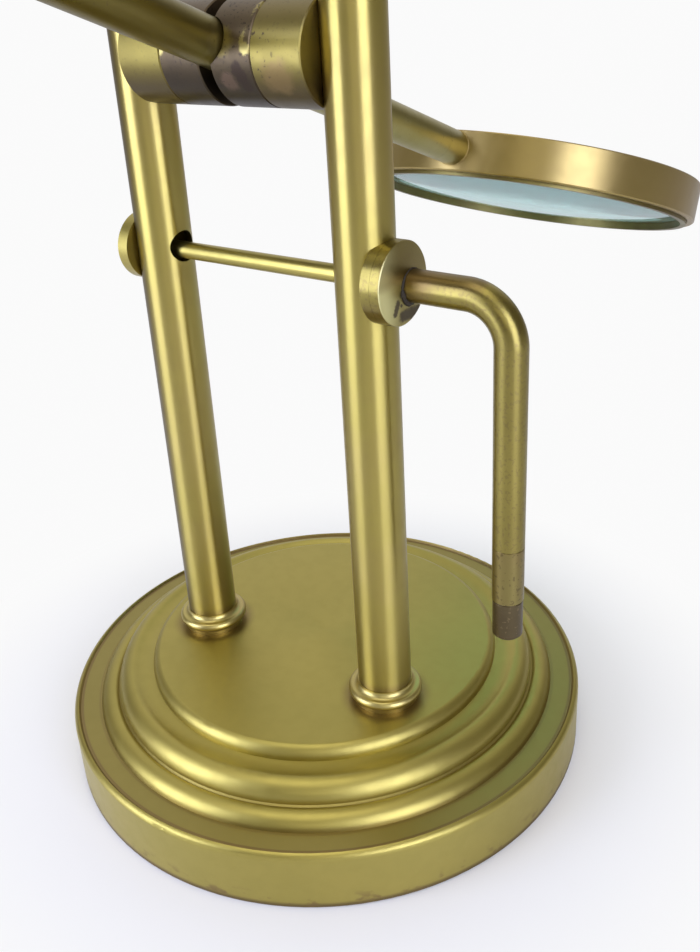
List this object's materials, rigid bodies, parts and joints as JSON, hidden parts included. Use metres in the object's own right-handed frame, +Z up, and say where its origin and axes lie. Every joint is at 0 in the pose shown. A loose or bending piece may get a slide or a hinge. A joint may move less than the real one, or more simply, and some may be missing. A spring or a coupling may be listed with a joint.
{
  "type": "desk magnifier stand",
  "caption": "Brass desk magnifier: framed lens on a tilting, sliding arm, clamped in a split barrel between posts on a stepped round base.",
  "frame": {"origin": "centre of the underside of the felt pad, on the surface the stand rests on", "axes": "+Z up; +X along the draw bar, from the dome nut to the lever; +Y towards the lens"},
  "size_m": [0.135, 0.2402, 0.2005],
  "materials": {
    "base_brass": "antiqued, brushed in rings, browned in the grooves",
    "weight_iron": "as cast",
    "steel": "zinc plated",
    "felt": "pressed wool felt",
    "post_brass": "drawn tube, satin",
    "collar_brass": "turned and rubbed",
    "boss_brass": "turned, pitted, satin",
    "jaw_brass": "dark brown patina, rubbed at the edges",
    "arm_brass": "drawn rod, light patina",
    "ring_brass": "smooth satin",
    "lens_glass": "polished, faint blue-green",
    "snap_ring_brass": "drawn wire",
    "bar_brass": "drawn, satin",
    "lever_brass": "brazed, rubbed, dark in places",
    "grip_brass": "turned",
    "tip_brass": "blackened"
  },
  "bodies": {
    "stand": {"base_shell": "base_brass", "base_weight": "weight_iron", "base_plate": "steel", "base_plate_screws": "steel", "base_felt": "felt", "post_screws": "steel", "post_washers": "steel", "post_far": "post_brass", "post_near": "post_brass", "post_plug_far": "steel", "post_plug_near": "steel", "foot_collar_far": "collar_brass", "foot_collar_near": "collar_brass", "post_cap_far": "collar_brass", "post_cap_near": "collar_brass", "boss_far": "boss_brass", "boss_near": "boss_brass", "pivot_pin_far": "steel", "pivot_pin_near": "steel", "saddle_near": "lever_brass", "dome_nut": "bar_brass"},
    "jaws": {"jaw_far": "jaw_brass", "jaw_near": "jaw_brass"},
    "arm": {"arm_rod": "arm_brass", "arm_end_cap": "collar_brass"},
    "lens_head": {"arm_ferrule": "arm_brass", "arm_stud": "steel", "lens_ring": "ring_brass", "lens_glass": "lens_glass", "lens_seat_ring": "snap_ring_brass", "lens_retainer": "snap_ring_brass"},
    "lever": {"draw_bar": "bar_brass", "lever_collar": "lever_brass", "lever_crank": "lever_brass", "lever_grip": "grip_brass", "lever_tip": "tip_brass", "lever_stud": "steel"}
  },
  "joints": [
    {"name": "arm_tilt", "type": "hinge", "parent": "stand", "child": "jaws", "pos_m": [0, -0.0122, 0.173], "axis": [1, 0, 0], "range_deg": [-22, 85]},
    {"name": "arm_slide", "type": "slide", "parent": "jaws", "child": "arm", "axis": [0, 0.9336, -0.3584], "range_m": [-0.055, 0.035]},
    {"name": "lens_twist", "type": "hinge", "parent": "arm", "child": "lens_head", "pos_m": [0, -0.01243, 0.17239], "axis": [0, 0.9336, -0.3584], "continuous": true},
    {"name": "lever_turn", "type": "hinge", "parent": "stand", "child": "lever", "pos_m": [0, -0.0122, 0.13], "axis": [1, 0, 0], "range_deg": [-90, 90]}
  ]
}
